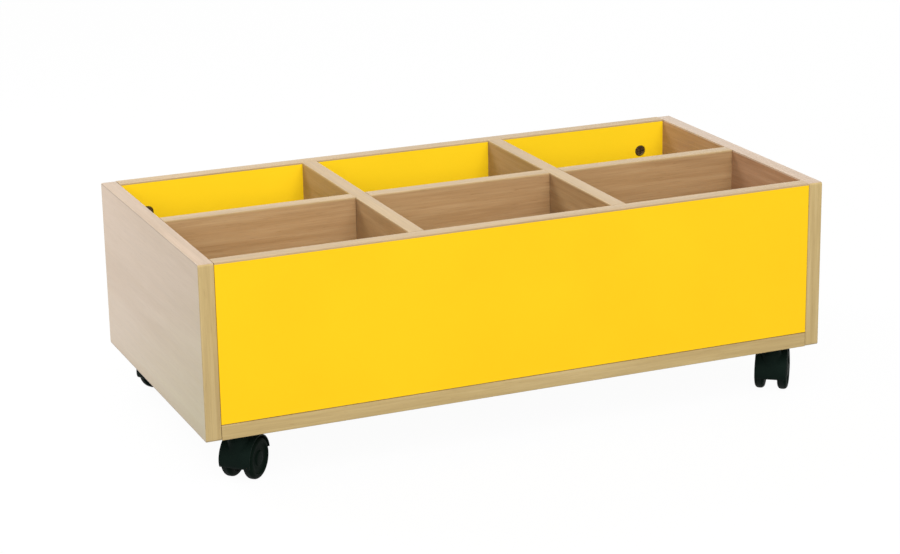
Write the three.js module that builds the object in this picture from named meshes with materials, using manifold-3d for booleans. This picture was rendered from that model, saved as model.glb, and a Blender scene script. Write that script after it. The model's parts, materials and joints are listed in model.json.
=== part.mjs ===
// Mobile picture book bin: a low open box of melamine boards, cross-halved into six bays, on four castors.
// Millimetres, +Z up, +X along the long front, +Y to the rear, origin on the floor below the box's centre.
import * as THREE from 'three';
import { mergeVertices } from 'three/addons/utils/BufferGeometryUtils.js';
import Module from 'manifold-3d';

const wasm = await Module();
wasm.setup();

// Box and boards
const LENGTH = 800;               // outside, end panel to end panel
const DEPTH = 400;                // outside, front to rear
const BOX_HEIGHT = 210;           // underside to top edge
const BOARD = 19;                 // thickness of every board
const BAND = 2;                   // thickness of the edge bands
const BAND_ROUND = 1.5;           // rounding along the bands' outer edges
const CORNER_ROUND = 3;           // rounding at the end panels' four corners
const LAP_CLEARANCE = 0.3;        // around each board in a cross-halving joint
const CUT_OVERRUN = 1;            // how far a cutter runs past a face

// Cam fittings that hold the boards to the end panels
const CAM_DIAMETER = 15;
const CAM_DEPTH = 14;
const CAM_BACKSET = 34;           // end of the board to the cam's centre
const CAM_DROP = 40;              // top edge of the box to the front and rear panels' cams
const UNDER_CAM_INSET = 100;      // front and rear faces to the cams under the bottom board
const CAM_CLEARANCE = 0.3;
const RECESS_LENGTH = 9;          // cross recess in the cam's face
const RECESS_WIDTH = 1.6;
const RECESS_DEPTH = 2;
const BOLT_HEAD = 6.4;            // diameters of the connecting bolt
const BOLT_NECK = 4;
const BOLT_SHANK = 7;
const BOLT_THREAD = 5;
const BOLT_NECK_END = 8;          // cam's centre to the start of the shank
const BOLT_THREAD_LENGTH = 10;    // held in the end panel
const BOLT_CHAMFER = 0.8;
const BOLT_CLEARANCE = 0.4;

// Twin-wheel castors
const CASTOR_END_INSET = 48;      // outside of the end panel to the swivel axis
const CASTOR_SIDE_INSET = 31;     // front and rear faces to the swivel axis
const CASTOR_TRAIL = 13;          // swivel axis to axle
const WHEEL_DIAMETER = 50;
const WHEEL_WIDTH = 12.5;
const WHEEL_ROUND = 5;            // both shoulders of the tread
const WHEEL_LIP = 1.5;            // radial width of the flat lip beside the outer shoulder
const WHEEL_DISH = 2;             // depth of the dished outer face
const WHEEL_HUB = 16;             // hub diameter
const WHEEL_CLEARANCE = 0.5;      // between wheel and web
const WEB_WIDTH = 15;             // body between the wheels
const WEB_DIAMETER = 28;          // round foot of the body about the axle
const AXLE_DIAMETER = 6;
const AXLE_GRIP = 9;              // length of axle inside each wheel
const AXLE_CHAMFER = 0.5;
const RUNNING_CLEARANCE = 0.3;
const HOOD_GAP = 1.2;             // tread to the inside of the hood
const HOOD_WALL = 1.8;
const HOOD_ROUND = 1;             // rounding along the hood's edges
const HOOD_SET_BACK = 0.7;        // wheel's outer face to the hood's edge
const HOOD_BACK_ANGLE = 12;       // hood's ends, in degrees about the axle from the trailing side
const HOOD_FRONT_ANGLE = 193;
const BOSS_DIAMETER = 20;         // swivel boss on top of the hood
const BOSS_FLARE = 3;             // how much wider the boss is at its foot
const BOSS_HEIGHT = 7.9;          // above the hood's crown
const PIN_DIAMETER = 8;
const PIN_COLLAR = 14;            // thrust collar under the plate
const PIN_COLLAR_HEIGHT = 0.8;
const PIN_DEPTH = 21;             // length held in the boss
const PIN_TIP = 3;                // plain length below the snap groove
const PIN_GROOVE = 1;             // depth of the snap groove, and height of its floor and of each flank
const PIN_CHAMFER = 1;
const PLATE_SIZE = 38;
const PLATE_THICKNESS = 2;
const PLATE_ROUND = 5;
const PLATE_HOLE = 4.8;
const PLATE_HOLE_INSET = 5;       // plate's edge to the centre of a screw hole

// Facets of round pieces
const WHEEL_SIDES = 24;
const CAM_SIDES = 18;
const SMALL_SIDES = 12;
const HOLE_SIDES = 8;             // screw holes and connecting bolts
const HOOD_STEPS = 14;            // along the hood's arc
const EDGE_STEPS = 2;             // across a rounded edge

// How far the castors stand turned at rest, in degrees about Z
const CASTORS = [
  { name: 'castor_front_left', side: -1, row: -1, yaw: -45 },
  { name: 'castor_front_right', side: 1, row: -1, yaw: -36 },
  { name: 'castor_rear_left', side: -1, row: 1, yaw: -64 },
  { name: 'castor_rear_right', side: 1, row: 1, yaw: -60 },
];

// Places worked out from the driving dimensions
const wheelRadius = WHEEL_DIAMETER / 2;
const hoodRadius = wheelRadius + HOOD_GAP + HOOD_WALL;
const bossTop = wheelRadius + hoodRadius + BOSS_HEIGHT;
const collarTop = bossTop + RUNNING_CLEARANCE + PIN_COLLAR_HEIGHT;
const underside = collarTop + PLATE_THICKNESS;
const top = underside + BOX_HEIGHT;
const floorTop = underside + BOARD;
const coreTop = top - BAND;
const innerHalfLength = LENGTH / 2 - BOARD;
const innerHalfDepth = DEPTH / 2 - BOARD;
const innerHeight = BOX_HEIGHT - BOARD;
const coreHeight = innerHeight - BAND;
const bayLength = (2 * innerHalfLength - 2 * BOARD) / 3;    // three bays in a row, parted by two boards
const crossX = bayLength / 2 + BOARD / 2;
const lapHeight = floorTop + innerHeight / 2;
const lapWidth = BOARD + 2 * LAP_CLEARANCE;

const FINISHES = {
  wood: { color: 0xd2c0a8, roughness: 0.55, metalness: 0 },
  yellow: { color: 0xffcf20, roughness: 0.45, metalness: 0 },
  band: { color: 0xd9cab0, roughness: 0.5, metalness: 0 },
  zinc: { color: 0x55514a, roughness: 0.4, metalness: 0.8 },
  steel: { color: 0x9a9a98, roughness: 0.35, metalness: 0.9 },
  black: { color: 0x141816, roughness: 0.4, metalness: 0 },
};

// Solids from three.js geometry, with shared corners merged and the slivers on a lathe's axis dropped
function solid(geometry) {
  geometry.deleteAttribute('normal');
  geometry.deleteAttribute('uv');
  const merged = mergeVertices(geometry);
  const corners = merged.index.array;
  const triVerts = [];
  for (let i = 0; i < corners.length; i += 3) {
    const [a, b, c] = corners.slice(i, i + 3);
    if (a !== b && b !== c && c !== a) {
      triVerts.push(a, b, c);
    }
  }
  return new wasm.Manifold(new wasm.Mesh({
    numProp: 3,
    vertProperties: new Float32Array(merged.attributes.position.array),
    triVerts: new Uint32Array(triVerts),
  }));
}

function block(sizeX, sizeY, sizeZ, x = 0, y = 0, z = 0) {
  return solid(new THREE.BoxGeometry(sizeX, sizeY, sizeZ).translate(x, y, z));
}

// Round bar between two places along its axis; bars lie along Z unless told otherwise
function bar(radius, from, to, axis = 'z', sides = SMALL_SIDES) {
  const geometry = new THREE.CylinderGeometry(radius, radius, to - from, sides);
  geometry.translate(0, (from + to) / 2, 0);
  return solid(turnFromY(geometry, axis));
}

// Turned piece from a profile of [radius, height] pairs that rises around the outside
function turned(profile, axis = 'z', sides = SMALL_SIDES) {
  const points = profile.map(([radius, height]) => new THREE.Vector2(radius, height));
  return solid(turnFromY(new THREE.LatheGeometry(points, sides), axis));
}

function turnFromY(geometry, axis) {
  return axis === 'x' ? geometry.rotateZ(-Math.PI / 2) : geometry.rotateX(Math.PI / 2);
}

// Extrusion along X, centred, of a shape drawn in the YZ plane; an arc gets two steps for each curve segment
function extrudeX(shape, width, round = 0, arcSteps = EDGE_STEPS) {
  const geometry = new THREE.ExtrudeGeometry(shape, {
    depth: width - 2 * round,
    curveSegments: arcSteps / 2,
    bevelEnabled: round > 0,
    bevelThickness: round,
    bevelSize: round,
    bevelOffset: -round,
    bevelSegments: EDGE_STEPS,
  });
  geometry.translate(0, 0, round - width / 2);
  const [x, y, z] = [new THREE.Vector3(1, 0, 0), new THREE.Vector3(0, 1, 0), new THREE.Vector3(0, 0, 1)];
  return solid(geometry.applyMatrix4(new THREE.Matrix4().makeBasis(y, z, x)));
}

function roundedRectangle(width, height, radius) {
  const [x, y] = [width / 2, height / 2];
  const shape = new THREE.Shape();
  shape.absarc(x - radius, y - radius, radius, 0, Math.PI / 2);
  shape.absarc(radius - x, y - radius, radius, Math.PI / 2, Math.PI);
  shape.absarc(radius - x, radius - y, radius, Math.PI, 1.5 * Math.PI);
  shape.absarc(x - radius, radius - y, radius, 1.5 * Math.PI, 2 * Math.PI);
  shape.closePath();
  return shape;
}

function addPart(parent, name, body, finish, x = 0, y = 0, z = 0) {
  const { vertProperties, triVerts } = body.getMesh();
  const geometry = new THREE.BufferGeometry();
  geometry.setAttribute('position', new THREE.BufferAttribute(vertProperties, 3));
  geometry.setIndex(new THREE.BufferAttribute(triVerts, 1));
  geometry.computeVertexNormals();
  const mesh = new THREE.Mesh(geometry, new THREE.MeshStandardMaterial(FINISHES[finish]));
  mesh.name = name;
  mesh.position.set(x, y, z);
  parent.add(mesh);
  return mesh;
}

const bin = new THREE.Group();

// Cam fittings: each has its cam's face at the origin facing +Z and its bolt running along +X
const boltDepth = -BOARD / 2;
const camBore = bar(
  CAM_DIAMETER / 2 + CAM_CLEARANCE,
  -CAM_DEPTH - CAM_CLEARANCE,
  CUT_OVERRUN,
  'z',
  CAM_SIDES,
);
const shankBore = bar(BOLT_SHANK / 2 + BOLT_CLEARANCE, 0, CAM_BACKSET + CUT_OVERRUN, 'x', HOLE_SIDES)
  .translate(0, 0, boltDepth);
const threadBore = bar(
  BOLT_THREAD / 2 + BOLT_CLEARANCE,
  CAM_BACKSET - CUT_OVERRUN,
  CAM_BACKSET + BOLT_THREAD_LENGTH + BOLT_CLEARANCE,
  'x',
  HOLE_SIDES,
).translate(0, 0, boltDepth);

function camBody() {
  const headBore = bar(BOLT_HEAD / 2 + BOLT_CLEARANCE, -BOLT_HEAD / 2 - BOLT_CLEARANCE, CAM_DIAMETER, 'x')
    .translate(0, 0, boltDepth);
  return bar(CAM_DIAMETER / 2, -CAM_DEPTH, 0, 'z', CAM_SIDES)
    .subtract(headBore)
    .subtract(block(RECESS_LENGTH, RECESS_WIDTH, 2 * RECESS_DEPTH))
    .subtract(block(RECESS_WIDTH, RECESS_LENGTH, 2 * RECESS_DEPTH));
}

function boltBody() {
  const [head, neck, shank, thread] = [BOLT_HEAD, BOLT_NECK, BOLT_SHANK, BOLT_THREAD].map((size) => size / 2);
  const waist = head * Math.SQRT1_2;
  const shoulder = CAM_BACKSET - CAM_CLEARANCE;
  const tip = CAM_BACKSET + BOLT_THREAD_LENGTH;
  return turned([
    [0, -head],
    [waist, -waist],
    [head, 0],
    [neck, Math.sqrt(head * head - neck * neck)],
    [neck, BOLT_NECK_END],
    [shank, BOLT_NECK_END + shank - neck],
    [shank, shoulder],
    [thread, shoulder],
    [thread, tip - BOLT_CHAMFER],
    [thread - BOLT_CHAMFER, tip],
    [0, tip],
  ], 'x', HOLE_SIDES).translate(0, 0, boltDepth);
}

const fittings = [];
for (const [sideName, side] of [['left', -1], ['right', 1]]) {
  const camX = side * (innerHalfLength - CAM_BACKSET);
  const underCamY = DEPTH / 2 - UNDER_CAM_INSET;
  const seats = [
    { board: 'front_panel', place: 'front', y: -innerHalfDepth, z: top - CAM_DROP, tilt: -Math.PI / 2 },
    { board: 'rear_panel', place: 'rear', y: innerHalfDepth, z: top - CAM_DROP, tilt: Math.PI / 2 },
    { board: 'bottom_board', place: 'under_front', y: -underCamY, z: underside, tilt: Math.PI },
    { board: 'bottom_board', place: 'under_rear', y: underCamY, z: underside, tilt: Math.PI },
  ];
  for (const { board, place, y, z, tilt } of seats) {
    const group = new THREE.Group();
    group.position.set(camX, y, z);
    group.rotation.set(tilt, 0, side < 0 ? Math.PI : 0);
    group.updateMatrix();
    bin.add(group);
    addPart(group, `cam_${place}_${sideName}`, camBody(), 'zinc');
    addPart(group, `bolt_${place}_${sideName}`, boltBody(), 'steel');
    fittings.push({ board, side, matrix: group.matrix });
  }
}

// Cuts a fitting's bores out of a board whose own centre is at x, y, z
function drill(body, x, y, z, chosen, bores) {
  const toBoard = new THREE.Matrix4().makeTranslation(-x, -y, -z);
  let drilled = body;
  for (const { matrix } of chosen) {
    const place = new THREE.Matrix4().multiplyMatrices(toBoard, matrix).elements;
    for (const bore of bores) {
      drilled = drilled.subtract(bore.transform(place));
    }
  }
  return drilled;
}

function addDrilledBoard(name, body, finish, x, y, z) {
  const chosen = fittings.filter((fitting) => fitting.board === name);
  addPart(bin, name, drill(body, x, y, z, chosen, [camBore, shankBore]), finish, x, y, z);
}

// End panels, each wrapped in one band round its four edges
for (const [sideName, side] of [['left', -1], ['right', 1]]) {
  const x = side * (LENGTH - BOARD) / 2;
  const z = underside + BOX_HEIGHT / 2;
  const [coreDepth, coreTall] = [DEPTH - 2 * BAND, BOX_HEIGHT - 2 * BAND];
  const chosen = fittings.filter((fitting) => fitting.side === side);
  const core = drill(block(BOARD, coreDepth, coreTall), x, 0, z, chosen, [threadBore]);
  addPart(bin, `end_panel_${sideName}`, core, 'wood', x, 0, z);
  const wrap = extrudeX(roundedRectangle(DEPTH, BOX_HEIGHT, CORNER_ROUND), BOARD, BAND_ROUND)
    .subtract(block(2 * BOARD, coreDepth, coreTall));
  addPart(bin, `end_band_${sideName}`, wrap, 'band', x, 0, z);
}

// Front and rear panels stand on the bottom board between the end panels
const panelY = (DEPTH - BOARD) / 2;
const coreZ = floorTop + coreHeight / 2;
addDrilledBoard('front_panel', block(2 * innerHalfLength, BOARD, coreHeight), 'yellow', 0, -panelY, coreZ);
addDrilledBoard('rear_panel', block(2 * innerHalfLength, BOARD, coreHeight), 'yellow', 0, panelY, coreZ);
const bottomCore = block(2 * innerHalfLength, DEPTH - 2 * BAND, BOARD);
addDrilledBoard('bottom_board', bottomCore, 'wood', 0, 0, underside + BOARD / 2);

// Edge strips lie along X with their foot at z = 0 and their rounded side up
function strip(length) {
  const [half, round] = [BOARD / 2, BAND_ROUND];
  const shape = new THREE.Shape();
  shape.moveTo(-half, 0);
  shape.lineTo(half, 0);
  shape.absarc(half - round, BAND - round, round, 0, Math.PI / 2);
  shape.absarc(round - half, BAND - round, round, Math.PI / 2, Math.PI);
  shape.closePath();
  return extrudeX(shape, length);
}

addPart(bin, 'front_top_band', strip(2 * innerHalfLength), 'band', 0, -panelY, coreTop);
addPart(bin, 'rear_top_band', strip(2 * innerHalfLength), 'band', 0, panelY, coreTop);
for (const [name, row] of [['bottom_front_band', -1], ['bottom_rear_band', 1]]) {
  const y = row * (DEPTH / 2 - BAND);
  const band = addPart(bin, name, strip(2 * innerHalfLength), 'band', 0, y, underside + BOARD / 2);
  band.rotation.x = -row * Math.PI / 2;
}

// Dividers: the long one is slotted from above and the cross ones from below, so their tops lie flush
let centre = block(2 * innerHalfLength, BOARD, coreHeight);
for (const x of [-crossX, crossX]) {
  const slotDepth = top - lapHeight;
  centre = centre.subtract(block(lapWidth, 2 * BOARD, slotDepth, x, 0, lapHeight + slotDepth / 2 - coreZ));
}
addPart(bin, 'centre_divider', centre, 'wood', 0, 0, coreZ);

const slotEdge = crossX - lapWidth / 2;
const outerBand = innerHalfLength - crossX - lapWidth / 2;
addPart(bin, 'centre_band_left', strip(outerBand), 'band', outerBand / 2 - innerHalfLength, 0, coreTop);
addPart(bin, 'centre_band_middle', strip(2 * slotEdge), 'band', 0, 0, coreTop);
addPart(bin, 'centre_band_right', strip(outerBand), 'band', innerHalfLength - outerBand / 2, 0, coreTop);

for (const [sideName, x] of [['left', -crossX], ['right', crossX]]) {
  const slotTop = lapHeight + LAP_CLEARANCE;
  const slotDepth = slotTop - floorTop + CUT_OVERRUN;
  const slot = block(2 * BOARD, lapWidth, slotDepth, 0, 0, slotTop - slotDepth / 2 - coreZ);
  const cross = block(BOARD, 2 * innerHalfDepth, coreHeight).subtract(slot);
  addPart(bin, `cross_divider_${sideName}`, cross, 'wood', x, 0, coreZ);
  const band = addPart(bin, `cross_band_${sideName}`, strip(2 * innerHalfDepth), 'band', x, 0, coreTop);
  band.rotation.z = Math.PI / 2;
}

// Castor pieces stand on the floor with the swivel axis at x = y = 0 and the wheels trailing to +Y
const wheelInside = WEB_WIDTH / 2 + WHEEL_CLEARANCE;
const wheelOutside = wheelInside + WHEEL_WIDTH;
const axleBore = AXLE_DIAMETER / 2 + RUNNING_CLEARANCE;
const pinBore = PIN_DIAMETER / 2 + RUNNING_CLEARANCE;

function plateBody() {
  const shape = roundedRectangle(PLATE_SIZE, PLATE_SIZE, PLATE_ROUND);
  const options = { depth: PLATE_THICKNESS, bevelEnabled: false, curveSegments: EDGE_STEPS };
  const pitch = PLATE_SIZE / 2 - PLATE_HOLE_INSET;
  const screwHole = bar(PLATE_HOLE / 2, -CUT_OVERRUN, PLATE_THICKNESS + CUT_OVERRUN, 'z', HOLE_SIDES);
  let plate = solid(new THREE.ExtrudeGeometry(shape, options))
    .subtract(bar(pinBore, -CUT_OVERRUN, PLATE_THICKNESS + CUT_OVERRUN));
  for (const [x, y] of [[-pitch, -pitch], [pitch, -pitch], [pitch, pitch], [-pitch, pitch]]) {
    plate = plate.subtract(screwHole.translate(x, y, 0));
  }
  return plate.translate(0, 0, collarTop);
}

function pinBody() {
  const radius = PIN_DIAMETER / 2;
  const tip = bossTop - PIN_DEPTH;
  const collarFoot = collarTop - PIN_COLLAR_HEIGHT;
  const groove = tip + PIN_TIP;
  const grooveTop = groove + 3 * PIN_GROOVE;
  return turned([
    [0, tip],
    [radius - PIN_CHAMFER, tip],
    [radius, tip + PIN_CHAMFER],
    [radius, groove],
    [radius - PIN_GROOVE, groove + PIN_GROOVE],
    [radius - PIN_GROOVE, grooveTop - PIN_GROOVE],
    [radius, grooveTop],
    [radius, collarFoot],
    [PIN_COLLAR / 2, collarFoot],
    [PIN_COLLAR / 2, collarTop],
    [radius, collarTop],
    [radius, underside],
    [0, underside],
  ]);
}

// Hood: a mudguard over both wheels on a solid web between them, with the swivel boss on its crown
function hoodBody() {
  const [back, front] = [HOOD_BACK_ANGLE, HOOD_FRONT_ANGLE].map(THREE.MathUtils.degToRad);
  const sector = new THREE.Shape();
  sector.moveTo(0, 0);
  sector.absarc(0, 0, hoodRadius, back, front);
  sector.closePath();
  const guard = extrudeX(sector, 2 * (wheelOutside - HOOD_SET_BACK), HOOD_ROUND, HOOD_STEPS)
    .translate(0, CASTOR_TRAIL, wheelRadius);
  const boss = turned([
    [0, wheelRadius],
    [BOSS_DIAMETER / 2 + BOSS_FLARE, wheelRadius],
    [BOSS_DIAMETER / 2 + BOSS_FLARE, bossTop - BOSS_HEIGHT - BOSS_FLARE],
    [BOSS_DIAMETER / 2, bossTop - BOSS_HEIGHT / 2],
    [BOSS_DIAMETER / 2, bossTop],
    [0, bossTop],
  ], 'z', WHEEL_SIDES);
  let body = guard.add(boss);
  for (const [from, to] of [[WEB_WIDTH / 2, wheelOutside], [-wheelOutside, -WEB_WIDTH / 2]]) {
    const well = bar(wheelRadius + HOOD_GAP, from, to, 'x', 2 * HOOD_STEPS);
    body = body.subtract(well.translate(0, CASTOR_TRAIL, wheelRadius));
  }
  const foot = bar(WEB_DIAMETER / 2, -WEB_WIDTH / 2, WEB_WIDTH / 2, 'x', WHEEL_SIDES);
  const axleHole = bar(axleBore, -wheelOutside, wheelOutside, 'x');
  const pinHole = bar(pinBore, bossTop - PIN_DEPTH - RUNNING_CLEARANCE, bossTop + CUT_OVERRUN);
  return body
    .add(foot.translate(0, CASTOR_TRAIL, wheelRadius))
    .subtract(axleHole.translate(0, CASTOR_TRAIL, wheelRadius))
    .subtract(pinHole);
}

function axleBody() {
  const [radius, half] = [AXLE_DIAMETER / 2, wheelInside + AXLE_GRIP];
  return turned([
    [0, -half],
    [radius - AXLE_CHAMFER, -half],
    [radius, AXLE_CHAMFER - half],
    [radius, half - AXLE_CHAMFER],
    [radius - AXLE_CHAMFER, half],
    [0, half],
  ], 'x');
}

// Wheel with its inner face towards -X; the flats of its tread, not their corners, lie at the true radius
function wheelBody() {
  const tread = wheelRadius / Math.cos(Math.PI / WHEEL_SIDES);
  const [hub, lip] = [WHEEL_HUB / 2, tread - WHEEL_ROUND - WHEEL_LIP];
  const bevel = WHEEL_ROUND * (1 - Math.SQRT1_2);
  const boreEnd = wheelInside + AXLE_GRIP + RUNNING_CLEARANCE;
  const dish = wheelOutside - WHEEL_DISH;
  const wheel = turned([
    [0, boreEnd],
    [axleBore, boreEnd],
    [axleBore, wheelInside],
    [tread - WHEEL_ROUND, wheelInside],
    [tread - bevel, wheelInside + bevel],
    [tread, wheelInside + WHEEL_ROUND],
    [tread, wheelOutside - WHEEL_ROUND],
    [tread - bevel, wheelOutside - bevel],
    [tread - WHEEL_ROUND, wheelOutside],
    [lip, wheelOutside],
    [lip - WHEEL_DISH, dish],
    [hub, dish],
    [hub - WHEEL_DISH / 2, dish + WHEEL_DISH / 2],
    [0, dish + WHEEL_DISH / 2],
  ], 'x', WHEEL_SIDES);
  const halfFlat = 180 / WHEEL_SIDES;
  return wheel.rotate([halfFlat, 0, 0]);
}

for (const { name, side, row, yaw } of CASTORS) {
  const castor = new THREE.Group();
  castor.position.set(side * (LENGTH / 2 - CASTOR_END_INSET), row * (DEPTH / 2 - CASTOR_SIDE_INSET), 0);
  bin.add(castor);
  addPart(castor, `${name}_plate`, plateBody(), 'steel');
  addPart(castor, `${name}_pin`, pinBody(), 'steel');

  const fork = new THREE.Group();
  fork.rotation.z = THREE.MathUtils.degToRad(yaw);
  castor.add(fork);
  addPart(fork, `${name}_hood`, hoodBody(), 'black');
  addPart(fork, `${name}_axle`, axleBody(), 'steel', 0, CASTOR_TRAIL, wheelRadius);
  addPart(fork, `${name}_wheel_right`, wheelBody(), 'black', 0, CASTOR_TRAIL, wheelRadius);
  const wheelLeft = addPart(fork, `${name}_wheel_left`, wheelBody(), 'black', 0, CASTOR_TRAIL, wheelRadius);
  wheelLeft.rotation.z = Math.PI;
}

export default bin;
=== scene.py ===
import json
import math

import bmesh
import bpy
from mathutils import Matrix, Vector


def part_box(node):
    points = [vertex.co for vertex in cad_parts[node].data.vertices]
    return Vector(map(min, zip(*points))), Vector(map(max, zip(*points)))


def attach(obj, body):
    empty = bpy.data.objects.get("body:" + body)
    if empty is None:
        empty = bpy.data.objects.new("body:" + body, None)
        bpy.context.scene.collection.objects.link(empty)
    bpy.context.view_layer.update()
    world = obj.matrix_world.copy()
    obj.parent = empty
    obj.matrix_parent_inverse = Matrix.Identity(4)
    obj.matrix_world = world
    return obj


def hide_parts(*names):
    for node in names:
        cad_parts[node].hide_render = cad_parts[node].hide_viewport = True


# Looks of a mobile picture book bin: wood-look boards, yellow panels and four twin-wheel castors.
# Metres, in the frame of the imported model: +X along the front, +Y to the rear, +Z up, floor at zero.
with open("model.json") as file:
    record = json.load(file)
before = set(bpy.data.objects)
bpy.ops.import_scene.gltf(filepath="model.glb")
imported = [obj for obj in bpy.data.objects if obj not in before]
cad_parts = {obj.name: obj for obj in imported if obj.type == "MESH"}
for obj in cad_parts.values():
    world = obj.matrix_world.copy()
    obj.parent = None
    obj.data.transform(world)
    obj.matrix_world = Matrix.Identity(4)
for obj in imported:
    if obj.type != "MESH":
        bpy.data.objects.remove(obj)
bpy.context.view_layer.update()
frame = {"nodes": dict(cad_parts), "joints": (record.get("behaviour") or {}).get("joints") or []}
joints = {joint["name"]: joint for joint in frame["joints"]}

CASTORS = ["front_left", "front_right", "rear_left", "rear_right"]
SIDES = ["left", "right"]

# Meshes: steps of their curves, angles in degrees from which an edge is sharp, the length below which points
# are one, the share of a side that a rounded corner may take up, and the corners of a square in turn
ROUND_STEPS = 5
SMALL_STEPS = 40
WHEEL_STEPS = 96
WHEEL_ROUND_STEPS = 10
SMOOTH_ANGLE = 32
HOOD_SMOOTH_ANGLE = 38
TINY = 1e-7
CORNER_SHARE = 0.45
CORNERS = [(1, 1), (-1, 1), (-1, -1), (1, -1)]
QUARTER_TURN = math.pi / 2
ROUND_TURNS = [QUARTER_TURN * step / ROUND_STEPS for step in range(ROUND_STEPS + 1)]

# Edging: its thickness, its roundings, the open seams between it and the yellow panels, and the share of the
# longest edge from which an edge counts as long
BAND = 0.002
BAND_ROUND = 0.0009
CORNER_ROUND = 0.003
SEAM = 0.001
SIDE_SEAM = 0.0006
SEAM_ROUND = 0.0003
LONG_EDGE_SHARE = 0.99

# Castors, each built with its swivel axis at x = y = 0 and its wheels trailing to +Y; bores are radii, and
# the hood's angles go round the axle from the rear upward
WHEEL_INSIDE = 0.008
WHEEL_OUTSIDE = 0.0205
WHEEL_ROUND = 0.005
TREAD_DEPTH = 0.0004
AXLE_BORE = 0.0033
AXLE_GRIP = 0.0093
WEB_HALF_WIDTH = 0.0075
FOOT_RADIUS = 0.014
HOOD_HALF_WIDTH = 0.0198
HOOD_GAP = 0.0012
HOOD_WALL = 0.0018
HOOD_ROUND = 0.001
HOOD_BACK = math.radians(12)
HOOD_FRONT = math.radians(193)
HOOD_STEP = math.radians(3)
HOOD_TIP = math.radians(24)
HOOD_TIP_WALL = 0.3
BOSS_RADIUS = 0.01
BOSS_FLARE = 0.003
BOSS_TOP = 0.0609
BOSS_SHOULDER = 0.053
BOSS_ROUND = 0.0008
WELL_OVERLAP = 0.0005
PIN_RADIUS = 0.004
PIN_BORE = 0.0043
PIN_BORE_FOOT = 0.0396
PIN_TIP = 0.003
PIN_ROUND = 0.0003
SNAP_GROOVE = 0.001
COLLAR_GAP = 0.0003
PLATE_ROUND = 0.005
PLATE_BEVEL = 0.0004
PLATE_BEVEL_STEPS = 2
SCREW_INSET = 0.005

# Relief of a wheel as (radius, depth) points: a ring groove in its inner face, and in its outer face a dish
# that starts inside the rounded shoulder and rises to a hub cap
GROOVE = [(0.0125, 0), (0.0138, 0.0012), (0.0175, 0.0012), (0.0188, 0), (0.0195, 0)]
GROOVE_ROUND = 0.0005
GROOVE_ROUND_STEPS = 3
DISH_RIM = 0.0012
DISH_SLOPE = 0.0016
DISH_DEPTH = 0.0018
HUB_CAP = [(0.014, 0.0022), (0.0095, 0.0019), (0.0086, 0.0006), (0.006, 0.0002), (0, 0)]
DISH_ROUND = 0.0009

# Fasteners: cams with the way each faces, and pan-head screws with the radius of their heads; a recess has a
# length, width and depth
CAM_FACES = {"front": (0, 1, 0), "rear": (0, -1, 0), "under_front": (0, 0, -1), "under_rear": (0, 0, -1)}
CAM_RING = 0.0008
CAM_RING_DEPTH = 0.0016
CAM_RIM = 0.0011
CAM_SINK = 0.0005
CAM_ROUND = 0.0003
CAM_RECESS = (0.009, 0.0017, 0.0024)
SCREW_HEAD = 0.004
SCREW_HEIGHT = 0.0022
SCREW_EDGE = 0.35 * SCREW_HEIGHT
SCREW_CROWN = (0.72 * SCREW_HEAD, 0.92 * SCREW_HEIGHT)
SCREW_ROUND = 0.0012
SCREW_RECESS = (0.0042, 0.0009, 0.0016)
PLATE_SCREW_TURNS = {(-1, -1): 0.3, (1, -1): 1.1, (1, 1): 0.7, (-1, 1): 1.9}

# Wood tones from light to dark, tones that fibres and pores multiply them with, and other tones
FACE_TONES = [(0.714, 0.566, 0.437), (0.661, 0.504, 0.374), (0.586, 0.431, 0.3)]
# Painted shade: the next three tones are darker, browner copies of the end faces' tone for the same melamine
# inside the bays, standing in for the shade there
INNER_SHADE_TONES = [(0.478, 0.327, 0.18), (0.413, 0.262, 0.134), (0.312, 0.185, 0.087)]
CROSS_SHADE_TONES = [(0.448, 0.302, 0.156), (0.387, 0.243, 0.114), (0.292, 0.171, 0.076)]
END_INNER_SHADE_TONES = [(0.437, 0.262, 0.154), (0.375, 0.206, 0.11), (0.284, 0.149, 0.077)]
EDGE_TONES = [(0.58, 0.441, 0.215), (0.505, 0.368, 0.157), (0.41, 0.284, 0.116)]
# Painted sheen: the next two tones are pinker copies of the edging tone for the tops of the edging, toned to
# the light and sheen that fall on tops
TOP_SHEEN_TONES = [(0.509, 0.367, 0.204), (0.445, 0.311, 0.159), (0.362, 0.243, 0.118)]
END_TOP_SHEEN_TONES = [(0.545, 0.415, 0.315), (0.477, 0.354, 0.248), (0.388, 0.279, 0.185)]
FIBRE_TONE = (0.86, 0.84, 0.8)
PORE_TONE = (0.62, 0.54, 0.44)
UNCHANGED = (1.0, 1.0, 1.0)
WHITE = (1.0, 1.0, 1.0, 1.0)
YELLOW_TONES = [(0.93, 0.56, 0.0072), (0.96, 0.58, 0.0084)]
# Painted light: a brighter copy of the yellow for the rear panel, making up for the light that its inner face
# lacks in the bays
REAR_YELLOW_LIT_TONES = [(0.955, 0.64, 0.0125), (0.985, 0.66, 0.014)]
HOOD_TONES = [(0.0042, 0.009, 0.007), (0.0058, 0.0116, 0.0089)]
WHEEL_TONES = [(0.003, 0.007, 0.0048), (0.0045, 0.0095, 0.0065)]
STEEL_TONES = [(0.44, 0.44, 0.42), (0.6, 0.6, 0.585)]

# Range that most of a noise lies in
NOISE_LOW = 0.3
NOISE_HIGH = 0.7

# Painted shade that changes slowly over a board, from its upper rear to its lower front: the board, how much
# of the change goes downward, and tones along it; it darkens the end panels toward their lower front and the
# cross dividers toward the rear
END_PAINTED_SHADE = (
    "end_panel_left", 0.5,
    [(0.1, UNCHANGED), (0.5, (0.945, 0.965, 0.95)), (0.92, (0.815, 0.89, 0.735))],
)
CROSS_PAINTED_SHADE = ("cross_divider_left", 0.0, [(0.4, (0.87, 0.85, 1.0)), (0.6, UNCHANGED)])

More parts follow.
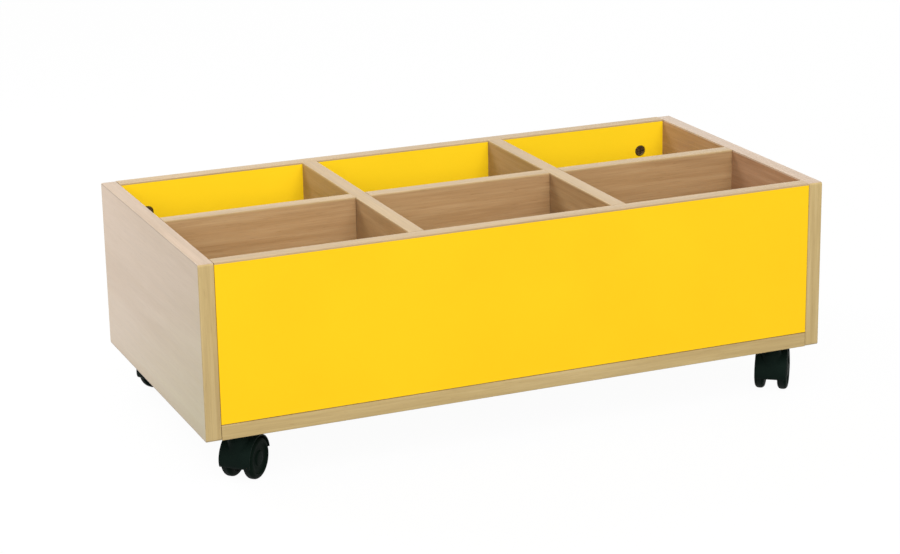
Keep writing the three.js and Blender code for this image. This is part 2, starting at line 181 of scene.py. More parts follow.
# Floor: half its length, its own grey, and the glow with which it shows white
FLOOR_REACH = 30.0
FLOOR_TONE = (0.24, 0.24, 0.24, 1.0)
FLOOR_GLOW = 1.115
FLOOR_GLOW_SHARE = 0.86

# Light: strength of the surroundings, the point that lamps face, the lamp that reflections show, and the
# place, size and power of each lamp
AMBIENT = 0.42
LAMP_AIM = (0, 0, 0.15)
MIRRORED_LAMP = "side"
LAMPS = {
    "key": ((-1.2, -4.6, 4.1), (7.0, 7.0), 530.0),
    "side": ((-1.3, 1.2, 1.4), (0.8, 0.8), 24.0),
    "fill": ((4.2, 4.0, 1.6), (4.0, 3.0), 160.0),
}

# Camera, for an image of 900 by 554
CAMERA_PLACE = (-1.1462, -2.6867, 1.0453)
CAMERA_TURN = (72.985, 0.9625, -23.1555)
LENS = 97.572
SENSOR = 36.0


# Node graphs
class Graph:
    """A material with its Principled shader, and short calls that add nodes to it."""

    def __init__(self, name, values):
        self.material = bpy.data.materials.new(name)
        self.material.use_nodes = True
        self.tree = self.material.node_tree
        self.shader = self.tree.nodes["Principled BSDF"]
        self.set(self.shader, values)

    def set(self, node, values):
        for key, value in values.items():
            socket = node.inputs[key]
            if isinstance(value, bpy.types.NodeSocket):
                self.tree.links.new(value, socket)
            else:
                socket.default_value = value

    def add(self, kind, values, **settings):
        node = self.tree.nodes.new("ShaderNode" + kind)
        for key, value in settings.items():
            setattr(node, key, value)
        self.set(node, values)
        return node

    def place(self):
        """The piece's own coordinates."""
        return self.add("TexCoord", {}).outputs["Object"]

    def noise(self, scale, detail=3.0, roughness=0.5, distortion=0.0, offset=(0, 0, 0)):
        """Noise over the piece's own coordinates, with a frequency per metre along each axis."""
        mapping = self.add("Mapping", {"Vector": self.place(), "Scale": scale, "Location": offset})
        values = {"Vector": mapping.outputs["Vector"], "Scale": 1.0, "Detail": detail}
        values.update({"Roughness": roughness, "Distortion": distortion})
        return self.add("TexNoise", values).outputs["Fac"]

    def ramp(self, factor, stops):
        node = self.add("ValToRGB", {"Fac": factor})
        elements = node.color_ramp.elements
        while len(elements) < len(stops):
            elements.new(0.5)
        for element, (position, colour) in zip(elements, stops):
            element.position = position
            element.color = (*colour, 1.0)
        return node.outputs["Color"]

    def blend(self, noise, tones):
        """From the first of two tones to the second over the range of a noise."""
        return self.ramp(noise, list(zip((NOISE_LOW, NOISE_HIGH), tones)))

    def span(self, factor, low, high, start=NOISE_LOW, end=NOISE_HIGH):
        values = {"Value": factor, "From Min": start, "From Max": end, "To Min": low, "To Max": high}
        return self.add("MapRange", values).outputs["Result"]

    def calculate(self, operation, *values):
        return self.add("Math", dict(enumerate(values)), operation=operation).outputs["Value"]

    def mix(self, factor, first, second, mode="MIX"):
        """Two colours mixed; the Mix node keeps its colours in inputs 6 and 7 and in output 2."""
        values = {0: factor, 6: first, 7: second}
        return self.add("Mix", values, data_type="RGBA", blend_type=mode).outputs[2]

    def mix_shaders(self, factor, first, second):
        return self.add("MixShader", {0: factor, 1: first, 2: second}).outputs["Shader"]

    def coat(self, colour, roughness):
        self.set(self.shader, {"Base Color": colour, "Roughness": roughness})

    def bump(self, height, strength, distance):
        values = {"Height": height, "Strength": strength, "Distance": distance}
        self.set(self.shader, {"Normal": self.add("Bump", values).outputs["Normal"]})


def stretched(along, across, length):
    """Frequencies for a grain that runs along one axis."""
    return tuple(length if axis == along else across for axis in "xyz")


def streak_noise(graph, along, offset):
    return graph.noise(stretched(along, 170, 7), detail=4.0, roughness=0.6, distortion=0.2, offset=offset)


def fibre_noise(graph, along, offset):
    return graph.noise(stretched(along, 800, 16), detail=2.0, offset=offset)


def grain(graph, along, tones, contrast, offset):
    """Colour of wood-look melamine: broad tone, streaks, fine fibres and short dark pores."""
    light, middle, dark = tones
    broad = stretched(along, 22, 1.6)
    figure = graph.noise(broad, detail=4.0, roughness=0.55, distortion=0.5, offset=offset)
    streaks = streak_noise(graph, along, offset)
    fibres = fibre_noise(graph, along, offset)
    pores = graph.noise(stretched(along, 1300, 45), detail=2.0, roughness=0.6, offset=offset)
    tone = graph.ramp(figure, [(0.3, dark), (0.5, middle), (0.68, light)])
    streak_tone = graph.ramp(streaks, [(0.32, dark), (0.52, middle), (0.66, light)])
    colour = graph.mix(0.5 * contrast, tone, streak_tone)
    fibre_tone = graph.ramp(fibres, [(0.35, FIBRE_TONE), (0.65, UNCHANGED)])
    colour = graph.mix(0.6 * contrast, colour, fibre_tone, "MULTIPLY")
    pore_tone = graph.ramp(pores, [(0.3, PORE_TONE), (0.37, UNCHANGED)])
    return graph.mix(0.5 * contrast, colour, pore_tone, "MULTIPLY")


def painted_shade_tone(graph, board, downward, stops):
    """Painted shade that changes slowly over a board, from its upper rear to its lower front."""
    low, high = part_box(board)
    axes = graph.add("SeparateXYZ", {"Vector": graph.place()}).outputs
    to_front = graph.span(axes["Y"], 0.0, 1.0 - downward, high.y, low.y)
    to_bottom = graph.span(axes["Z"], 0.0, downward, high.z, low.z)
    return graph.ramp(graph.calculate("ADD", to_front, to_bottom), stops)


def inner_shade_mask(graph):
    """Mask for painted shade: one on the half of an end panel's thickness that lies toward the bays."""
    low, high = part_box("end_panel_right")
    axes = graph.add("SeparateXYZ", {"Vector": graph.place()}).outputs
    return graph.calculate("LESS_THAN", graph.calculate("ABSOLUTE", axes["X"]), (low.x + high.x) / 2)


def wood(name, along, tones, contrast=1.0, offset=(0, 0, 0), inner_shade_tones=None, painted_shade=None):
    """Wood-look melamine; the inner tones paint shade on the inner face of an end panel, and a slow painted
    shade may darken part of a board.
    """
    graph = Graph(name, {"Specular IOR Level": 0.5})
    colour = grain(graph, along, tones, contrast, offset)
    if painted_shade:
        colour = graph.mix(1.0, colour, painted_shade_tone(graph, *painted_shade), "MULTIPLY")
    if inner_shade_tones:
        colour = graph.mix(inner_shade_mask(graph), colour, grain(graph, along, inner_shade_tones, 1.0, offset))
    graph.coat(colour, graph.span(streak_noise(graph, along, offset), 0.28, 0.42))
    graph.bump(fibre_noise(graph, along, offset), 0.12, 0.0001)
    return graph.material


def yellow_melamine(name, tones):
    graph = Graph(name, {"Specular IOR Level": 0.2})
    cloud = graph.noise((9, 9, 9))
    graph.coat(graph.blend(cloud, tones), graph.span(cloud, 0.4, 0.48))
    graph.bump(graph.noise((900, 900, 900), detail=2.0, roughness=0.6), 0.08, 0.00008)
    return graph.material


def moulded_plastic(name, tones, specular, smoothest, roughest):
    graph = Graph(name, {"Specular IOR Level": specular})
    cloud = graph.noise((60, 60, 60))
    graph.coat(graph.blend(cloud, tones), graph.span(cloud, smoothest, roughest))
    graph.bump(graph.noise((2600, 2600, 2600), detail=2.0, roughness=0.6), 0.15, 0.00006)
    return graph.material


def wheel_tread():
    graph = Graph("wheel_tread", {"Specular IOR Level": 0.06})
    scuffs = graph.noise((90, 420, 420), detail=4.0, roughness=0.65)
    colour = graph.ramp(scuffs, [(0.4, (0.0022, 0.006, 0.0045)), (0.75, (0.009, 0.0115, 0.0098))])
    graph.coat(colour, graph.span(scuffs, 0.48, 0.7))
    graph.bump(graph.noise((1800, 1800, 1800), detail=2.0, roughness=0.6), 0.25, 0.0001)
    return graph.material


def die_cast_zinc():
    graph = Graph("die_cast_zinc", {"Metallic": 0.85})
    cloud = graph.noise((420, 420, 420), detail=4.0, roughness=0.6)
    colour = graph.ramp(cloud, [(0.35, (0.12, 0.092, 0.048)), (0.68, (0.33, 0.268, 0.145))])
    graph.coat(colour, graph.span(cloud, 0.36, 0.55))
    graph.bump(cloud, 0.2, 0.0001)
    return graph.material


def plated_steel():
    graph = Graph("plated_steel", {"Metallic": 1.0})
    brush = graph.noise((2200, 90, 2200), roughness=0.6)
    cloud = graph.noise((140, 140, 140))
    graph.coat(graph.blend(cloud, STEEL_TONES), graph.span(brush, 0.26, 0.42))
    graph.bump(brush, 0.06, 0.00005)
    return graph.material


MATERIALS = {
    # Painted shade on the end panels' inner faces and lower fronts, on the inner boards and on the cross
    # dividers' rear
    "face_y": wood("wood_face_and_painted_shade", "y", FACE_TONES, 0.7, inner_shade_tones=END_INNER_SHADE_TONES, painted_shade=END_PAINTED_SHADE),
    "inner_shade_x": wood("wood_inner_shaded_lengthwise", "x", INNER_SHADE_TONES),
    "inner_shade_y": wood("wood_inner_shaded_crosswise", "y", CROSS_SHADE_TONES, offset=(3.1, 5.7, 1.3), painted_shade=CROSS_PAINTED_SHADE),
    "edge_x": wood("edging_lengthwise", "x", EDGE_TONES, offset=(1.7, 2.9, 7.7)),
    "edge_z": wood("edging_upright", "z", EDGE_TONES, offset=(2.3, 8.1, 3.7)),
    "top_sheen_x": wood("top_edging_sheen_lengthwise", "x", TOP_SHEEN_TONES, offset=(4.7, 1.9, 5.3)),
    "top_sheen_y": wood("top_edging_sheen_crosswise", "y", TOP_SHEEN_TONES, offset=(6.1, 0.7, 4.9)),
    "top_end_sheen": wood("end_top_edging_sheen", "y", END_TOP_SHEEN_TONES, offset=(2.9, 3.3, 6.1)),
    "yellow": yellow_melamine("yellow_melamine", YELLOW_TONES),
    "yellow_rear_lit": yellow_melamine("rear_yellow_melamine_lit", REAR_YELLOW_LIT_TONES),
    "plastic": moulded_plastic("castor_plastic", HOOD_TONES, 0.03, 0.4, 0.52),
    "wheel": moulded_plastic("wheel_plastic", WHEEL_TONES, 0.015, 0.42, 0.55),
    "tread": wheel_tread(),
    "zinc": die_cast_zinc(),
    "steel": plated_steel(),
}


# Meshes
def new_object(name, data):
    made = bpy.data.objects.new(name, data)
    bpy.context.scene.collection.objects.link(made)
    return made


def finish_mesh(bm, name, angle=SMOOTH_ANGLE):
    """A mesh from a bmesh, smooth except where faces meet at more than the angle."""
    bmesh.ops.remove_doubles(bm, verts=bm.verts, dist=TINY)
    bmesh.ops.recalc_face_normals(bm, faces=bm.faces)
    mesh = bpy.data.meshes.new(name)
    bm.to_mesh(mesh)
    bm.free()
    mesh.shade_smooth()
    mesh.set_sharp_from_angle(angle=math.radians(angle))
    return mesh


def rounded(points, radius, steps=4):
    """An open outline of (a, b) points with each inner corner rounded."""
    result = [Vector(points[0])]
    for before, corner, after in zip(points, points[1:], points[2:]):
        corner = Vector(corner)
        back = Vector(before) - corner
        ahead = Vector(after) - corner
        reach = min(radius, back.length * CORNER_SHARE, ahead.length * CORNER_SHARE)
        start = corner + back.normalized() * reach
        end = corner + ahead.normalized() * reach
        for step in range(steps + 1):
            share = step / steps
            left = 1 - share
            result.append(start * left ** 2 + corner * 2 * share * left + end * share ** 2)
    result.append(Vector(points[-1]))
    return result


def arc(centre, radius, start, end, steps):
    """Points of an arc about a centre, from one angle in degrees to another."""
    turns = [math.radians(start + (end - start) * step / steps) for step in range(steps + 1)]
    return [Vector(centre) + radius * Vector((math.cos(turn), math.sin(turn))) for turn in turns]


def lathe(profile, steps):
    """Turns an open outline of (radius, height) points that starts and ends on the Z axis."""
    bm = bmesh.new()
    rings = []
    for radius, height in profile:
        count = steps if radius > TINY else 1
        turns = [2 * math.pi * step / steps for step in range(count)]
        ring = [(radius * math.cos(turn), radius * math.sin(turn), height) for turn in turns]
        rings.append([bm.verts.new(place) for place in ring])
    for low, high in zip(rings, rings[1:]):
        for step in range(steps):
            following = (step + 1) % steps
            corners = [low[step % len(low)], low[following % len(low)]]
            corners += [high[following % len(high)], high[step % len(high)]]
            unique = list(dict.fromkeys(corners))
            if len(unique) > 2:
                bm.faces.new(unique)
    return bm


def cylinder(radius, low, high, steps):
    return lathe([(0, low), (radius, low), (radius, high), (0, high)], steps)


def block(low, high):
    bm = bmesh.new()
    bmesh.ops.create_cube(bm, size=1.0)
    for vert in bm.verts:
        sides = zip(low, high, vert.co)
        vert.co = Vector(start + (end - start) * (share + 0.5) for start, end, share in sides)
    return bm


def skin(bm, rings):
    """Faces from each closed ring of vertices to the next one."""
    for first, second in zip(rings, rings[1:]):
        for index in range(len(first)):
            after = (index + 1) % len(first)
            bm.faces.new((first[index], second[index], second[after], first[after]))


def bevel(bm, edges, size, steps):
    bmesh.ops.bevel(bm, geom=edges, offset=size, segments=steps, profile=0.5, affect="EDGES")


def combined(bm, others, operation):
    """The first solid joined with, or cut by, each of the others."""
    base = new_object("base", finish_mesh(bm, "base"))
    tools = []
    for other in others:
        tool = new_object("tool", finish_mesh(other, "tool"))
        modifier = base.modifiers.new("combine", "BOOLEAN")
        modifier.operation = operation
        modifier.solver = "EXACT"
        modifier.object = tool
        tools.append(tool)
    evaluated = base.evaluated_get(bpy.context.evaluated_depsgraph_get())
    result = bmesh.new()
    result.from_mesh(evaluated.to_mesh())
    evaluated.to_mesh_clear()
    for made in [base, *tools]:
        mesh = made.data
        bpy.data.objects.remove(made)
        bpy.data.meshes.remove(mesh)
    return result


def add_piece(name, mesh, material, body, replaces=(), place=Matrix()):
    """A piece with the body it rides on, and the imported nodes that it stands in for."""
    piece = new_object(name, mesh)
    piece.matrix_world = place
    if not mesh.materials:
        mesh.materials.append(MATERIALS[material])
    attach(piece, body)
    if replaces:
        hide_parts(*replaces)


# Boards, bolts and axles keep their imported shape
BOARD_FINISHES = {
    "end_panel_left": "face_y", "end_panel_right": "face_y",
    # Painted light: the rear panel takes a brighter copy of the yellow
    "front_panel": "yellow", "rear_panel": "yellow_rear_lit",
    # Painted shade: the bottom board and the dividers take darker copies of the board tone
    "bottom_board": "inner_shade_x", "centre_divider": "inner_shade_x",
    "cross_divider_left": "inner_shade_y", "cross_divider_right": "inner_shade_y",
}


def finish_node(node, material):
    slots = frame["nodes"][node].data.materials
    slots.clear()
    slots.append(MATERIALS[material])


def finish_boards():
    for node, material in BOARD_FINISHES.items():
        finish_node(node, material)
    for node in frame["nodes"]:
        if node.startswith("bolt_") or node.endswith("_axle"):
            finish_node(node, "steel")


# Edging
def strip_edging(node, outward, material, seam=0.0):
    """A straight strip with the long edges of its outer face rounded, or the lower one below a seam."""
    low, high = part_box(node)
    outward = Vector(outward)
    bm = block(low, high - Vector((0, 0, seam)))
    bm.normal_update()
    outer = max(bm.faces, key=lambda face: face.normal.dot(outward))
    longest = max(edge.calc_length() for edge in outer.edges)
    edges = [edge for edge in outer.edges if edge.calc_length() > LONG_EDGE_SHARE * longest]
    if seam:
        edges = [min(edges, key=lambda edge: edge.verts[0].co.z)]
    bevel(bm, edges, BAND_ROUND, ROUND_STEPS)
    mesh = finish_mesh(bm, node + "_edging")
    add_piece(node + "_edging", mesh, material, "carcass", [node])


def edging_section(half_width, rounds):
    """Outline across wrapped edging as (x, depth) points, with a rounding for each outer edge."""
    flanks = []
    for side, radius in zip((-1, 1), rounds):
        flank = [(side * half_width, BAND)]
        for turn in ROUND_TURNS:
            inset = radius * (1 - math.cos(turn))
            flank.append((side * (half_width - inset), radius * (1 - math.sin(turn))))
        flanks.append(flank)
    return flanks[0] + flanks[1][::-1]


def wrapped_edging(node):
    """Edging round an end panel, with rounded corners and a seam inside; the grain follows each side, and its
    top and bottom take a pinker copy of the edging tone that paints sheen.
    """
    low, high = [Vector(corner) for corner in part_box(node)]
    rounds = [BAND_ROUND, SEAM_ROUND]
    if high.x < 0:
        high.x -= SIDE_SEAM
    else:
        low.x += SIDE_SEAM
        rounds.reverse()
    centre = (low + high) / 2
    half = (high - low) / 2
    section = edging_section(half.x, rounds)
    bm = bmesh.new()
    rings = []
    for number, (side, top) in enumerate(CORNERS):
        core = Vector((side * (half.y - BAND), top * (half.z - BAND)))
        hub = Vector((side * (half.y - CORNER_ROUND), top * (half.z - CORNER_ROUND)))
        for turn in ROUND_TURNS:
            angle = number * QUARTER_TURN + turn
            out = Vector((math.cos(angle), math.sin(angle)))
            ring = []
            for x, depth in section:
                flat = core if depth == BAND else hub + out * (CORNER_ROUND - depth)
                ring.append(bm.verts.new((centre.x + x, centre.y + flat.x, centre.z + flat.y)))
            rings.append(ring)
    skin(bm, rings + rings[:1])
    mesh = finish_mesh(bm, node + "_edging")
    for material in ("top_end_sheen", "edge_z"):
        mesh.materials.append(MATERIALS[material])
    for polygon in mesh.polygons:
        away = polygon.center - centre
        polygon.material_index = int(abs(away.y) / half.y > abs(away.z) / half.z)
    add_piece(node + "_edging", mesh, "top_end_sheen", "carcass", [node])


def add_edging():
    lengthwise = ["front_top_band", "rear_top_band"]
    lengthwise += ["centre_band_left", "centre_band_middle", "centre_band_right"]
    # Painted sheen: the tops of these bands take a pinker copy of the edging tone
    for node in lengthwise:
        strip_edging(node, (0, 0, 1), "top_sheen_x")
    strip_edging("bottom_front_band", (0, -1, 0), "edge_x", SEAM)
    strip_edging("bottom_rear_band", (0, 1, 0), "edge_x", SEAM)
    for side in SIDES:
        strip_edging("cross_band_" + side, (0, 0, 1), "top_sheen_y")
        wrapped_edging("end_band_" + side)


# Fasteners
def cross_recess(length, width, depth):
    """Two crossed blades that cut a driver's recess into a face at z = 0."""
    blades = []
    for x, y in ((length, width), (width, length)):
        blades.append(block((-x / 2, -y / 2, -depth), (x / 2, y / 2, depth)))
    return blades


def cam_mesh():
    """A cam with a raised rim and a cross recess, its face at z = 0 looking up, in a narrow sunk ring."""
    low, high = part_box("cam_rear_left")
    bore = (high.x - low.x) / 2
    depth = high.y - low.y
    face = bore - CAM_RING
    floor = face - CAM_RIM
    profile = rounded([
        (0, -depth), (bore, -depth), (bore, -CAM_RING_DEPTH), (face, -CAM_RING_DEPTH),
        (face, 0), (floor, 0), (floor - CAM_SINK, -CAM_SINK), (0, -CAM_SINK),
    ], CAM_ROUND)
    body = lathe(profile, SMALL_STEPS)
    return finish_mesh(combined(body, cross_recess(*CAM_RECESS), "DIFFERENCE"), "cam")


def add_cams():
    mesh = cam_mesh()
    for place, face in CAM_FACES.items():
        face = Vector(face)
        turn = face.to_track_quat("Z", "Y").to_matrix().to_4x4()
        for side in SIDES:
            node = f"cam_{place}_{side}"
            low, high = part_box(node)
            front = (low + high) / 2 + face * abs(face.dot(high - low)) / 2
            matrix = Matrix.Translation(front) @ turn
            add_piece(f"{node}_disc", mesh, "zinc", "carcass", [node], matrix)


def screw_mesh(spots, name):
    """Pan heads with cross recesses, looking down, each at its own spot and turn."""
    outline = [(0, 0), (SCREW_HEAD, 0), (SCREW_HEAD, SCREW_EDGE), SCREW_CROWN, (0, SCREW_HEIGHT)]
    head = lathe(rounded(outline, SCREW_ROUND), SMALL_STEPS)
    recess = cross_recess(*SCREW_RECESS)
    for blade in recess:
        blade.transform(Matrix.Translation((0, 0, SCREW_HEIGHT)))
    one = combined(head, recess, "DIFFERENCE")
    one.transform(Matrix.Rotation(math.pi, 4, "X"))
    single = bpy.data.meshes.new("screw")
    one.to_mesh(single)
    one.free()
    bm = bmesh.new()
    for spot, turn in spots:
        start = len(bm.verts)
        bm.from_mesh(single)
        bm.verts.ensure_lookup_table()
        matrix = Matrix.Translation(spot) @ Matrix.Rotation(turn, 4, "Z")
        bmesh.ops.transform(bm, matrix=matrix, verts=bm.verts[start:])
    bpy.data.meshes.remove(single)
    return finish_mesh(bm, name)


def under_screw_spots():
    """Where screws go up through the bottom board: below the panels and dividers, midway along each bay."""
    rows = [sum(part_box(board), Vector()).y / 2 for board in ("front_panel", "centre_divider", "rear_panel")]
    cross_low, cross_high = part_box("cross_divider_right")
    cross = (cross_low.x + cross_high.x) / 2
    bay = (cross_high.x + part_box("front_panel")[1].x) / 2
    spots = [(x, y) for y in rows for x in (-bay, 0, bay)]
    return spots + [(x, y) for x in (-cross, cross) for y in (rows[0] / 2, rows[2] / 2)]


def add_under_screws():
    """All these screws as one piece; each is turned by its number, in radians."""
    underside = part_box("bottom_board")[0].z
    spots = [((x, y, underside), number) for number, (x, y) in enumerate(under_screw_spots())]
    add_piece("under_screws", screw_mesh(spots, "under_screws"), "steel", "carcass")


# Castors
def castor_place(castor):
    """Matrix of a castor, from the joints of its swivel and of one wheel."""
    swivel = Vector(joints[castor + "_swivel"]["pos_m"])
    axle = joints[castor + "_left_wheel_roll"]
    yaw = math.atan2(axle["axis"][1], axle["axis"][0])
    return Matrix.Translation((swivel.x, swivel.y, 0)) @ Matrix.Rotation(yaw, 4, "Z")


def castor_trail():
    """How far the wheels trail the swivel axis, and the height of their axle, which is their radius."""
    swivel = Vector(joints["front_left_swivel"]["pos_m"]).xy
    axle = Vector(joints["front_left_left_wheel_roll"]["pos_m"])
    return (axle.xy - swivel).length, axle.z


TRAIL, WHEEL_RADIUS = castor_trail()
AXLE_PLACE = Matrix.Translation((0, TRAIL, WHEEL_RADIUS))


def wheel_mesh():
    """A moulded wheel about the Z axis, inner face down: round shoulders, dished face and hub cap."""
    inside, outside = WHEEL_INSIDE, WHEEL_OUTSIDE
    bore_end = inside + AXLE_GRIP
    shoulder = WHEEL_RADIUS - WHEEL_ROUND
    rim = shoulder - DISH_RIM
    dish = [(rim, 0), (rim - DISH_SLOPE, DISH_DEPTH), *HUB_CAP]
    profile = [(0, bore_end), (AXLE_BORE, bore_end), (AXLE_BORE, inside)]
    groove = [(radius, inside + depth) for radius, depth in GROOVE]
    profile += rounded(groove, GROOVE_ROUND, GROOVE_ROUND_STEPS)
    profile += arc((shoulder, inside + WHEEL_ROUND), WHEEL_ROUND, -90, 0, WHEEL_ROUND_STEPS)
    profile += arc((shoulder, outside - WHEEL_ROUND), WHEEL_ROUND, 0, 90, WHEEL_ROUND_STEPS)
    profile += rounded([(radius, outside - depth) for radius, depth in dish], DISH_ROUND)
    mesh = finish_mesh(lathe(profile, WHEEL_STEPS), "wheel")
    for material in ("wheel", "tread"):
        mesh.materials.append(MATERIALS[material])
    for polygon in mesh.polygons:
        polygon.material_index = int(polygon.center.xy.length > WHEEL_RADIUS - TREAD_DEPTH)
    return mesh


def hood_section():
    """Outline of the hood across its width as (x, radius) points: a guard over both wheels on a web."""
    inner = WHEEL_RADIUS + HOOD_GAP
    outer = inner + HOOD_WALL
    web = -WEB_HALF_WIDTH
    edge = -HOOD_HALF_WIDTH
    left = rounded([(web, FOOT_RADIUS), (web, inner), (edge, inner), (edge, outer), (0, outer)], HOOD_ROUND)
    right = [Vector((-x, radius)) for x, radius in reversed(left[:-1])]
    return left + right


def wall_share(angle):
    """Share of the hood's wall that is left at an angle, as both tips thin out in a curve."""
    reach = min(1.0, min(angle - HOOD_BACK, HOOD_FRONT - angle) / HOOD_TIP)
    return HOOD_TIP_WALL + (1 - HOOD_TIP_WALL) * math.sqrt(max(0.0, 1 - (1 - reach) ** 2))


def hood_sweep():
    """Guard and web swept about the axle, with the web's round foot closing the circle below."""
    section = hood_section()
    count = len(section)
    bore_edge = [Vector((WEB_HALF_WIDTH, AXLE_BORE)), Vector((-WEB_HALF_WIDTH, AXLE_BORE))]
    inner = WHEEL_RADIUS + HOOD_GAP
    bm = bmesh.new()

    def ring(points, angle):
        turned = []
        for x, radius in points:
            radius = inner + (radius - inner) * wall_share(angle) if radius > inner else radius
            y = TRAIL + radius * math.cos(angle)
            turned.append(bm.verts.new((x, y, WHEEL_RADIUS + radius * math.sin(angle))))
        return turned

    sweep = HOOD_FRONT - HOOD_BACK
    steps = round(sweep / HOOD_STEP)
    guard = [ring(section + bore_edge, HOOD_BACK + sweep * step / steps) for step in range(steps + 1)]
    skin(bm, guard)
    foot_points = [section[-1], *bore_edge, section[0]]
    last, first = [[rim[count - 1], rim[count], rim[count + 1], rim[0]] for rim in (guard[-1], guard[0])]
    rest = 2 * math.pi - sweep
    foot_steps = round(rest / HOOD_STEP)
    foot = [ring(foot_points, HOOD_FRONT + rest * step / foot_steps) for step in range(1, foot_steps)]
    skin(bm, [last, *foot, first])
    for rim in (guard[0], guard[-1]):
        bm.faces.new(rim[:count])
    return bm


def hood_mesh():
    """The hood with its flared swivel boss, cut clear of the wheels, and the pin's bore."""
    mid_wall = WHEEL_RADIUS + HOOD_GAP + HOOD_WALL / 2
    flare = BOSS_RADIUS + BOSS_FLARE
    boss = lathe(rounded([
        (0, WHEEL_RADIUS), (flare, WHEEL_RADIUS), (flare, BOSS_SHOULDER - BOSS_FLARE),
        (BOSS_RADIUS, BOSS_SHOULDER + BOSS_FLARE), (BOSS_RADIUS, BOSS_TOP), (0, BOSS_TOP),
    ], BOSS_ROUND), WHEEL_STEPS)
    wells = []
    for side in (-1, 1):
        well = cylinder(mid_wall, WEB_HALF_WIDTH - WELL_OVERLAP, 2 * WHEEL_OUTSIDE, WHEEL_STEPS)
        well.transform(AXLE_PLACE @ Matrix.Rotation(side * QUARTER_TURN, 4, "Y"))
        wells.append(well)
    bm = combined(hood_sweep(), [combined(boss, wells, "DIFFERENCE")], "UNION")
    bore = cylinder(PIN_BORE, PIN_BORE_FOOT, 2 * BOSS_TOP, SMALL_STEPS)
    return finish_mesh(combined(bm, [bore], "DIFFERENCE"), "hood", HOOD_SMOOTH_ANGLE)


def pin_mesh():
    """The swivel pin with its thrust collar and snap groove."""
    low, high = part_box("castor_front_left_pin")
    collar = (high.x - low.x) / 2
    collar_low = BOSS_TOP + COLLAR_GAP
    plate_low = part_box("castor_front_left_plate")[0].z
    groove = low.z + PIN_TIP
    neck = PIN_RADIUS - SNAP_GROOVE
    profile = rounded([
        (0, low.z), (PIN_RADIUS, low.z), (PIN_RADIUS, groove), (neck, groove + SNAP_GROOVE),
        (neck, groove + 2 * SNAP_GROOVE), (PIN_RADIUS, groove + 3 * SNAP_GROOVE),
        (PIN_RADIUS, collar_low), (collar, collar_low), (collar, plate_low), (PIN_RADIUS, plate_low),
        (PIN_RADIUS, high.z), (0, high.z),
    ], PIN_ROUND)
    return finish_mesh(lathe(profile, SMALL_STEPS), "pin")


def plate_mesh():
    """The castor's top plate with rounded corners and edges, and the pin's bore."""
    low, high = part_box("castor_front_left_plate")
    reach = (high.x - low.x) / 2 - PLATE_ROUND
    outline = []
    for number, (x, y) in enumerate(CORNERS):
        start = 90 * number
        outline += arc((x * reach, y * reach), PLATE_ROUND, start, start + 90, ROUND_STEPS)
    bm = bmesh.new()
    face = bm.faces.new([bm.verts.new((x, y, low.z)) for x, y in outline])
    raised = bmesh.ops.extrude_face_region(bm, geom=[face])["geom"]
    corners = [part for part in raised if isinstance(part, bmesh.types.BMVert)]
    bmesh.ops.translate(bm, verts=corners, vec=(0, 0, high.z - low.z))
    rims = [edge for edge in bm.edges if abs(edge.verts[0].co.z - edge.verts[1].co.z) < TINY]
    bevel(bm, rims, PLATE_BEVEL, PLATE_BEVEL_STEPS)
    bore = cylinder(PIN_BORE, 0, 2 * high.z, SMALL_STEPS)
    return finish_mesh(combined(bm, [bore], "DIFFERENCE"), "plate")


def plate_screws_mesh():
    """Four screws near the corners of a castor's plate."""
    low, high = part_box("castor_front_left_plate")
    pitch = (high.x - low.x) / 2 - SCREW_INSET
    spots = [((x * pitch, y * pitch, low.z), turn) for (x, y), turn in PLATE_SCREW_TURNS.items()]
    return screw_mesh(spots, "plate_screws")


def add_castors():
    wheel, hood, pin, plate = wheel_mesh(), hood_mesh(), pin_mesh(), plate_mesh()
    screws = plate_screws_mesh()
    for castor in CASTORS:
        node = "castor_" + castor
        fork = castor + "_fork"
        place = castor_place(castor)
        upright = Matrix.Translation(place.translation)
        add_piece(castor + "_plate", plate, "steel", "carcass", [node + "_plate"], upright)
        add_piece(castor + "_plate_screws", screws, "steel", "carcass", [], upright)
        add_piece(castor + "_pin", pin, "steel", "carcass", [node + "_pin"], upright)
        add_piece(castor + "_hood", hood, "plastic", fork, [node + "_hood"], place)
        for side, sign in zip(SIDES, (-1, 1)):
            turned = place @ AXLE_PLACE @ Matrix.Rotation(sign * QUARTER_TURN, 4, "Y")
            body = f"{castor}_{side}_wheel"
            add_piece(body, wheel, "plastic", body, [f"{node}_wheel_{side}"], turned)


# Stage
def seen_rays(graph):
    """One for rays from the camera, or that reach the surface by reflection or through glass."""
    path = graph.add("LightPath", {}).outputs
    seen = graph.calculate("MAXIMUM", path["Is Camera Ray"], path["Is Glossy Ray"])
    return graph.calculate("MAXIMUM", seen, path["Is Transmission Ray"])


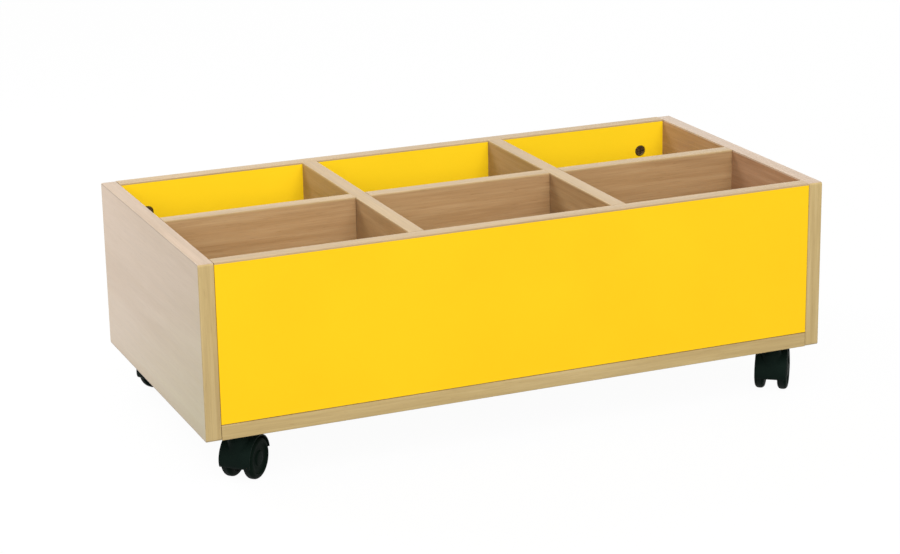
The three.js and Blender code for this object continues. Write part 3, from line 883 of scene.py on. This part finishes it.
def add_floor():
    """A pale floor that shows white to the eye and in reflections, and keeps the soft shadow."""
    bm = bmesh.new()
    bmesh.ops.create_grid(bm, x_segments=2, y_segments=2, size=FLOOR_REACH)
    floor = new_object("floor", finish_mesh(bm, "floor"))
    graph = Graph("pale_floor", {"Base Color": FLOOR_TONE, "Roughness": 0.9, "Specular IOR Level": 0.0})
    matt = graph.shader.outputs["BSDF"]
    glow = graph.add("Emission", {"Color": WHITE, "Strength": FLOOR_GLOW}).outputs["Emission"]
    seen = graph.mix_shaders(FLOOR_GLOW_SHARE, matt, glow)
    surface = graph.mix_shaders(seen_rays(graph), matt, seen)
    graph.set(graph.tree.nodes["Material Output"], {"Surface": surface})
    floor.data.materials.append(graph.material)


class WorldGraph(Graph):
    """The same short calls for the world's nodes."""

    def __init__(self, name):
        self.world = bpy.data.worlds.new(name)
        self.world.use_nodes = True
        self.tree = self.world.node_tree
        self.shader = self.tree.nodes["Background"]


def light_world():
    """Even light all round, which the eye and reflections see as white."""
    graph = WorldGraph("studio")
    graph.set(graph.shader, {"Color": WHITE, "Strength": AMBIENT})
    white = graph.add("Background", {"Color": WHITE, "Strength": 1.0}).outputs["Background"]
    surface = graph.mix_shaders(seen_rays(graph), graph.shader.outputs["Background"], white)
    graph.set(graph.tree.nodes["World Output"], {"Surface": surface})
    bpy.context.scene.world = graph.world


def add_lamps():
    for name, (place, size, power) in LAMPS.items():
        lamp = bpy.data.lights.new(name, "AREA")
        lamp.shape = "RECTANGLE"
        lamp.size, lamp.size_y = size
        lamp.energy = power
        holder = new_object(name, lamp)
        holder.location = place
        holder.visible_camera = False
        holder.visible_glossy = (name == MIRRORED_LAMP)
        aim = Vector(LAMP_AIM) - Vector(place)
        holder.rotation_euler = aim.to_track_quat("-Z", "Y").to_euler()


def add_camera():
    camera = bpy.data.cameras.new("camera")
    camera.sensor_fit = "HORIZONTAL"
    camera.sensor_width = SENSOR
    camera.lens = LENS
    holder = new_object("camera", camera)
    holder.location = CAMERA_PLACE
    holder.rotation_euler = [math.radians(turn) for turn in CAMERA_TURN]
    bpy.context.scene.camera = holder
    bpy.context.scene.view_settings.view_transform = "Standard"


finish_boards()
add_edging()
add_cams()
add_under_screws()
add_castors()
add_floor()
light_world()
add_lamps()
add_camera()
